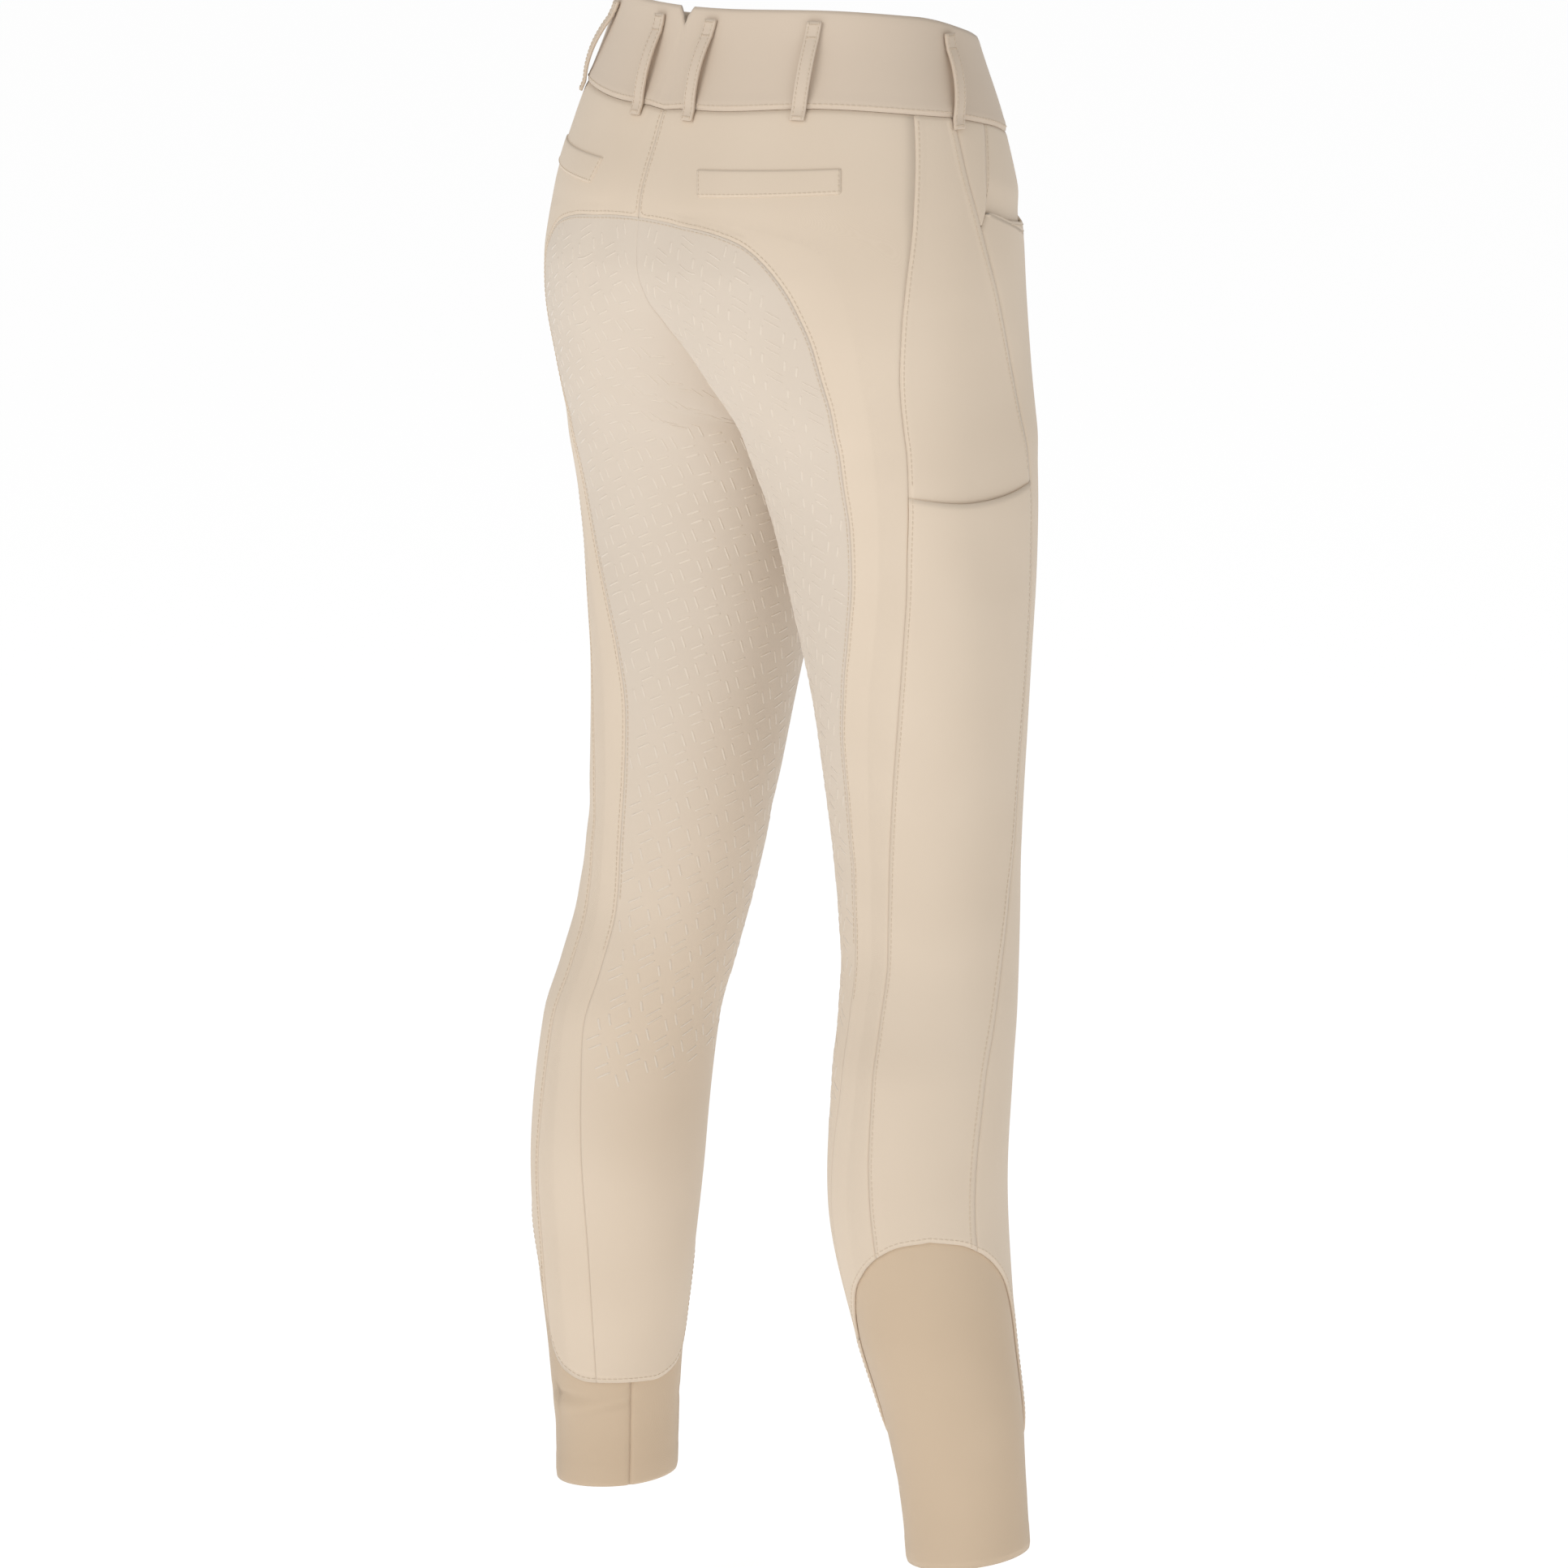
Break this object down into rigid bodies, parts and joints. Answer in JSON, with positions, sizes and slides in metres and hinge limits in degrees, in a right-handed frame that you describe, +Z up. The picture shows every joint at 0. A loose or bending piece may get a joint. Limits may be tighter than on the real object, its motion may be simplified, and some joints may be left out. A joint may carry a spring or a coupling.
{
  "type": "riding breeches",
  "caption": "Riding breeches in worn shape: curved waistband with belt loops, grip seat and inner legs, side phone pockets, and stretch cuffs under arched leg ends.",
  "frame": {"origin": "middle of the wearer's waist, a little below the waistband's top edge", "axes": "+Z up, -Y the wearer's front, +X the wearer's left"},
  "size_m": [0.3944, 0.2409, 0.9636],
  "materials": {
    "cloth": "fine stretch twill, beige, matt",
    "grip": "the same twill under a tone on tone print of raised grip dashes",
    "cuff": "thin stretch jersey, a little darker",
    "button": "satin"
  },
  "bodies": {
    "root": {"waistband": "cloth", "back_left": "cloth", "back_right": "cloth", "seat_left": "grip", "seat_right": "grip", "side_upper_left": "cloth", "side_upper_right": "cloth", "side_lower_left": "cloth", "side_lower_right": "cloth", "hip_strip_left": "cloth", "hip_strip_right": "cloth", "hip_facing_left": "cloth", "hip_facing_right": "cloth", "front_left": "cloth", "front_right": "cloth", "welt_left": "cloth", "welt_right": "cloth", "cuff_left": "cuff", "cuff_right": "cuff", "belt_loop_back_left": "cloth", "belt_loop_back_right": "cloth", "belt_loop_hip_left": "cloth", "belt_loop_hip_right": "cloth", "belt_loop_side_left": "cloth", "belt_loop_side_right": "cloth", "belt_loop_front_left": "cloth", "belt_loop_front_right": "cloth", "fly_placket": "cloth", "button": "button"}
  },
  "joints": []
}
